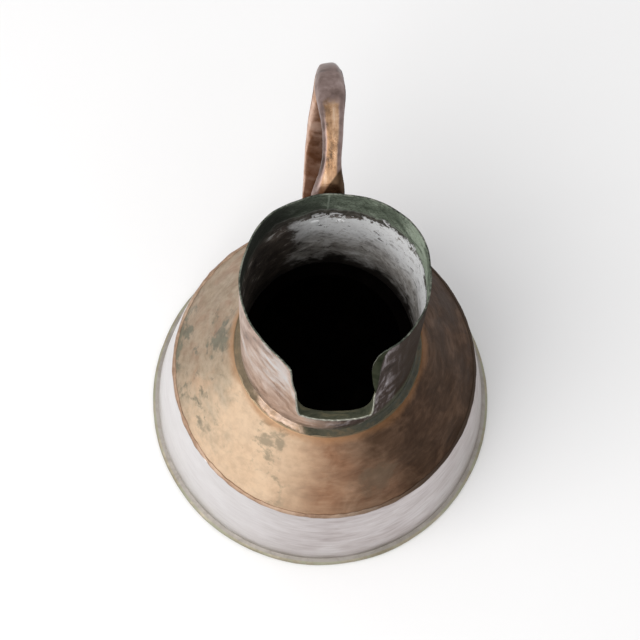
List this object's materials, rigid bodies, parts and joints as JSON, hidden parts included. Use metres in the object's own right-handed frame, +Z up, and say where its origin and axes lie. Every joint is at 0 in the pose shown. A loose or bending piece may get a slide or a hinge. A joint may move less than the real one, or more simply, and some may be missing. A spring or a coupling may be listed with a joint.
{
  "type": "water jug",
  "caption": "Metal water jug with a flared body, a cone shoulder, a tall neck with a deep pouring notch and a strap handle.",
  "frame": {"origin": "centre of the flat underside, on the axis of the body", "axes": "+Z up along the body's axis, the pouring notch faces -Y, the handle is at +Y"},
  "size_m": [0.18, 0.2, 0.2212],
  "materials": {
    "base_copper": "worn, dull copper",
    "body_copper": "worn bright copper, stained",
    "shoulder_copper": "brown patina with turned lines and verdigris",
    "neck_copper": "streaked copper outside, limed dark inside",
    "handle_copper": "forged, dark brown with a worn face",
    "braze": "rough brazing brass",
    "solder": "dull solder",
    "rivet_copper": "hammered copper"
  },
  "bodies": {
    "root": {"base_plate": "base_copper", "body_wall": "body_copper", "shoulder": "shoulder_copper", "neck": "neck_copper", "handle": "handle_copper", "body_seam_braze": "braze", "neck_seam_braze": "braze", "body_seam_solder": "solder", "neck_foot_solder": "solder", "upper_rivets": "rivet_copper", "lower_rivets": "rivet_copper"}
  },
  "joints": []
}
